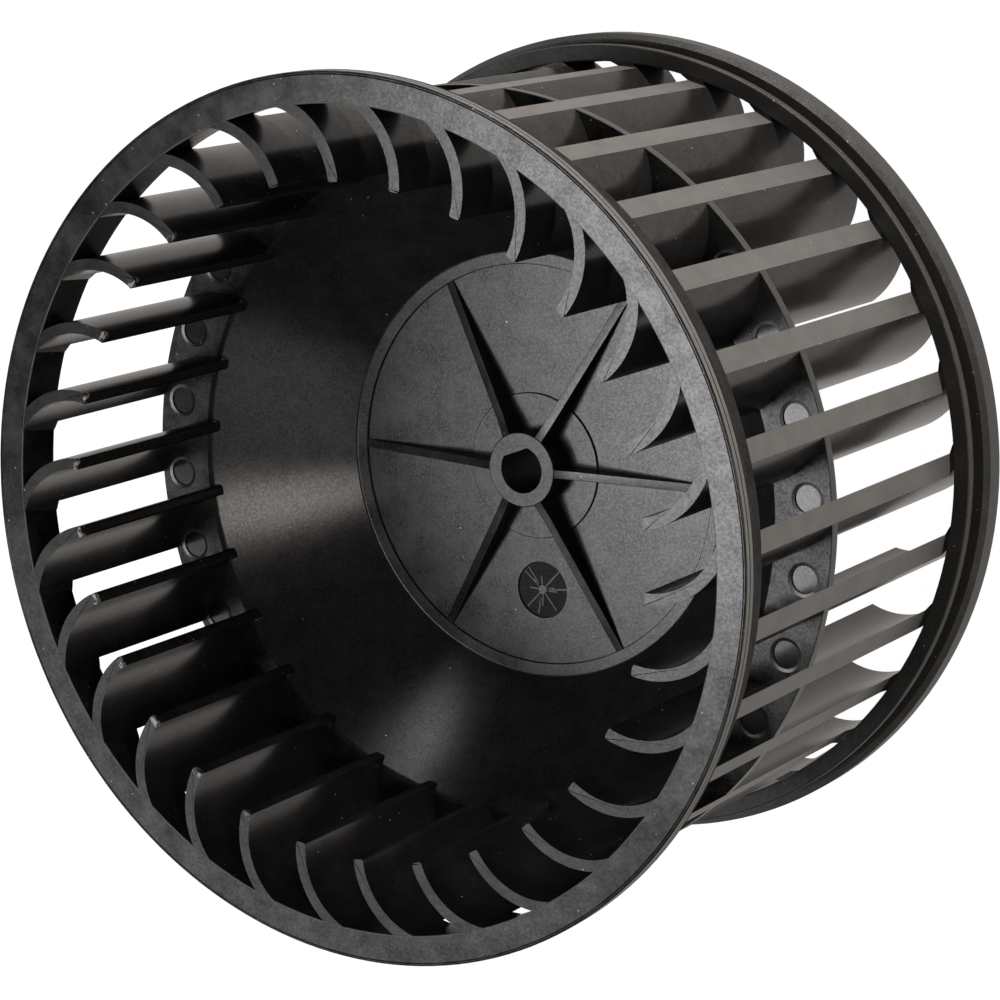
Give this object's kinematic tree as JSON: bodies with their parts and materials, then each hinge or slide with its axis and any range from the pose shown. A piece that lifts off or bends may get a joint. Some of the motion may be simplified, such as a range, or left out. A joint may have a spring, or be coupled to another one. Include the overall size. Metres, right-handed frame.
{
  "type": "blower wheel",
  "caption": "One-piece double-inlet blower wheel: forward-curved blades between two end rings, on a dished web with a D-bore hub.",
  "frame": {"origin": "middle of the rear ring's end face, on the shaft axis, where the wheel stands", "axes": "+Z along the shaft axis, from the rear ring to the front ring; +X across the wheel"},
  "size_m": [0.143, 0.143, 0.089],
  "materials": {
    "wheel": "moulded black polypropylene, lightly satin, dusty"
  },
  "bodies": {
    "root": {"blower_wheel": "wheel"}
  },
  "joints": []
}
